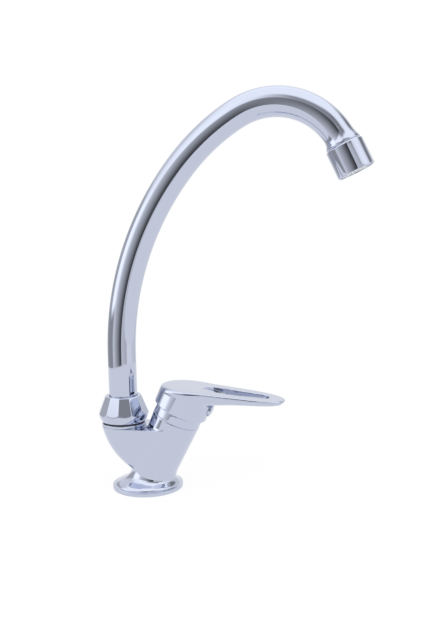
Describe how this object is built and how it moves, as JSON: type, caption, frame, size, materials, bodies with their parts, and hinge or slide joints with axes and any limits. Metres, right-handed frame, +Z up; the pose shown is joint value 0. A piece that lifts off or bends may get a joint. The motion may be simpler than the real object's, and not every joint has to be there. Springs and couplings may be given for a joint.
{
  "type": "bar faucet",
  "caption": "Single-lever gooseneck bar faucet: round deck flange, tilted mixing tower and a swivelling arched spout with an aerator.",
  "frame": {"origin": "centre of the flange's underside, on the deck", "axes": "+Z up, +X towards the lever and the outlet, +Y to the left of somebody who looks along +X"},
  "size_m": [0.2117, 0.055, 0.3005],
  "materials": {
    "body_chrome": "polished",
    "ring_chrome": "polished",
    "nut_chrome": "polished",
    "tube_chrome": "polished",
    "sleeve_chrome": "polished",
    "shell_chrome": "polished",
    "bonnet_chrome": "polished",
    "handle_chrome": "polished",
    "button_chrome": "polished",
    "gasket_rubber": "matte",
    "seal_rubber": "matte",
    "glide_plastic": "matte",
    "insert_plastic": "satin",
    "cartridge_plastic": "satin",
    "carrier_plastic": "satin",
    "turret_plastic": "satin",
    "spigot_brass": "machined",
    "nut_brass": "machined",
    "stem_brass": "machined",
    "screen_steel": "satin",
    "pin_steel": "satin",
    "screw_steel": "blackened",
    "disc_ceramic": "fine ground ceramic"
  },
  "bodies": {
    "base": {"body": "body_chrome", "base_gasket": "gasket_rubber", "swivel_ring": "ring_chrome", "spout_nut": "nut_chrome", "glide_ring_lower": "glide_plastic", "glide_ring_upper": "glide_plastic", "bonnet_ring": "bonnet_chrome", "bonnet_o_ring": "seal_rubber", "cartridge_nut": "nut_brass", "cartridge_housing": "cartridge_plastic", "cartridge_base": "cartridge_plastic", "base_seals": "seal_rubber", "disc_seal": "seal_rubber", "fixed_disc": "disc_ceramic"},
    "spout": {"spout_tube": "tube_chrome", "spout_spigot": "spigot_brass", "spout_o_ring_lower": "seal_rubber", "spout_o_ring_upper": "seal_rubber", "outlet_sleeve": "sleeve_chrome", "aerator_shell": "shell_chrome", "aerator_washer": "seal_rubber", "aerator_insert": "insert_plastic", "aerator_screen": "screen_steel"},
    "turret": {"cartridge_turret": "turret_plastic", "pivot_pin": "pin_steel"},
    "mixer": {"disc_carrier": "carrier_plastic", "moving_disc": "disc_ceramic"},
    "lever": {"cartridge_stem": "stem_brass", "handle": "handle_chrome", "handle_set_screw": "screw_steel", "index_button": "button_chrome"}
  },
  "joints": [
    {"name": "spout_swivel", "type": "hinge", "parent": "base", "child": "spout", "pos_m": [-0.0183, 0, 0.061], "axis": [0, 0, 1], "continuous": true},
    {"name": "temperature_turn", "type": "hinge", "parent": "base", "child": "turret", "pos_m": [-0.001, 0, 0], "axis": [0.4226, 0, 0.9063], "range_deg": [-45, 45]},
    {"name": "lever_lift", "type": "hinge", "parent": "turret", "child": "lever", "pos_m": [0.02153, 0, 0.04831], "axis": [0, -1, 0], "range_deg": [0, 22]},
    {"name": "disc_slide", "type": "slide", "parent": "turret", "child": "mixer", "axis": [0.9063, 0, -0.4226], "range_m": [0, 0.0031]}
  ],
  "couplings": [
    {"joint": "disc_slide", "follows": "lever_lift", "m_per_rad": 0.008}
  ]
}
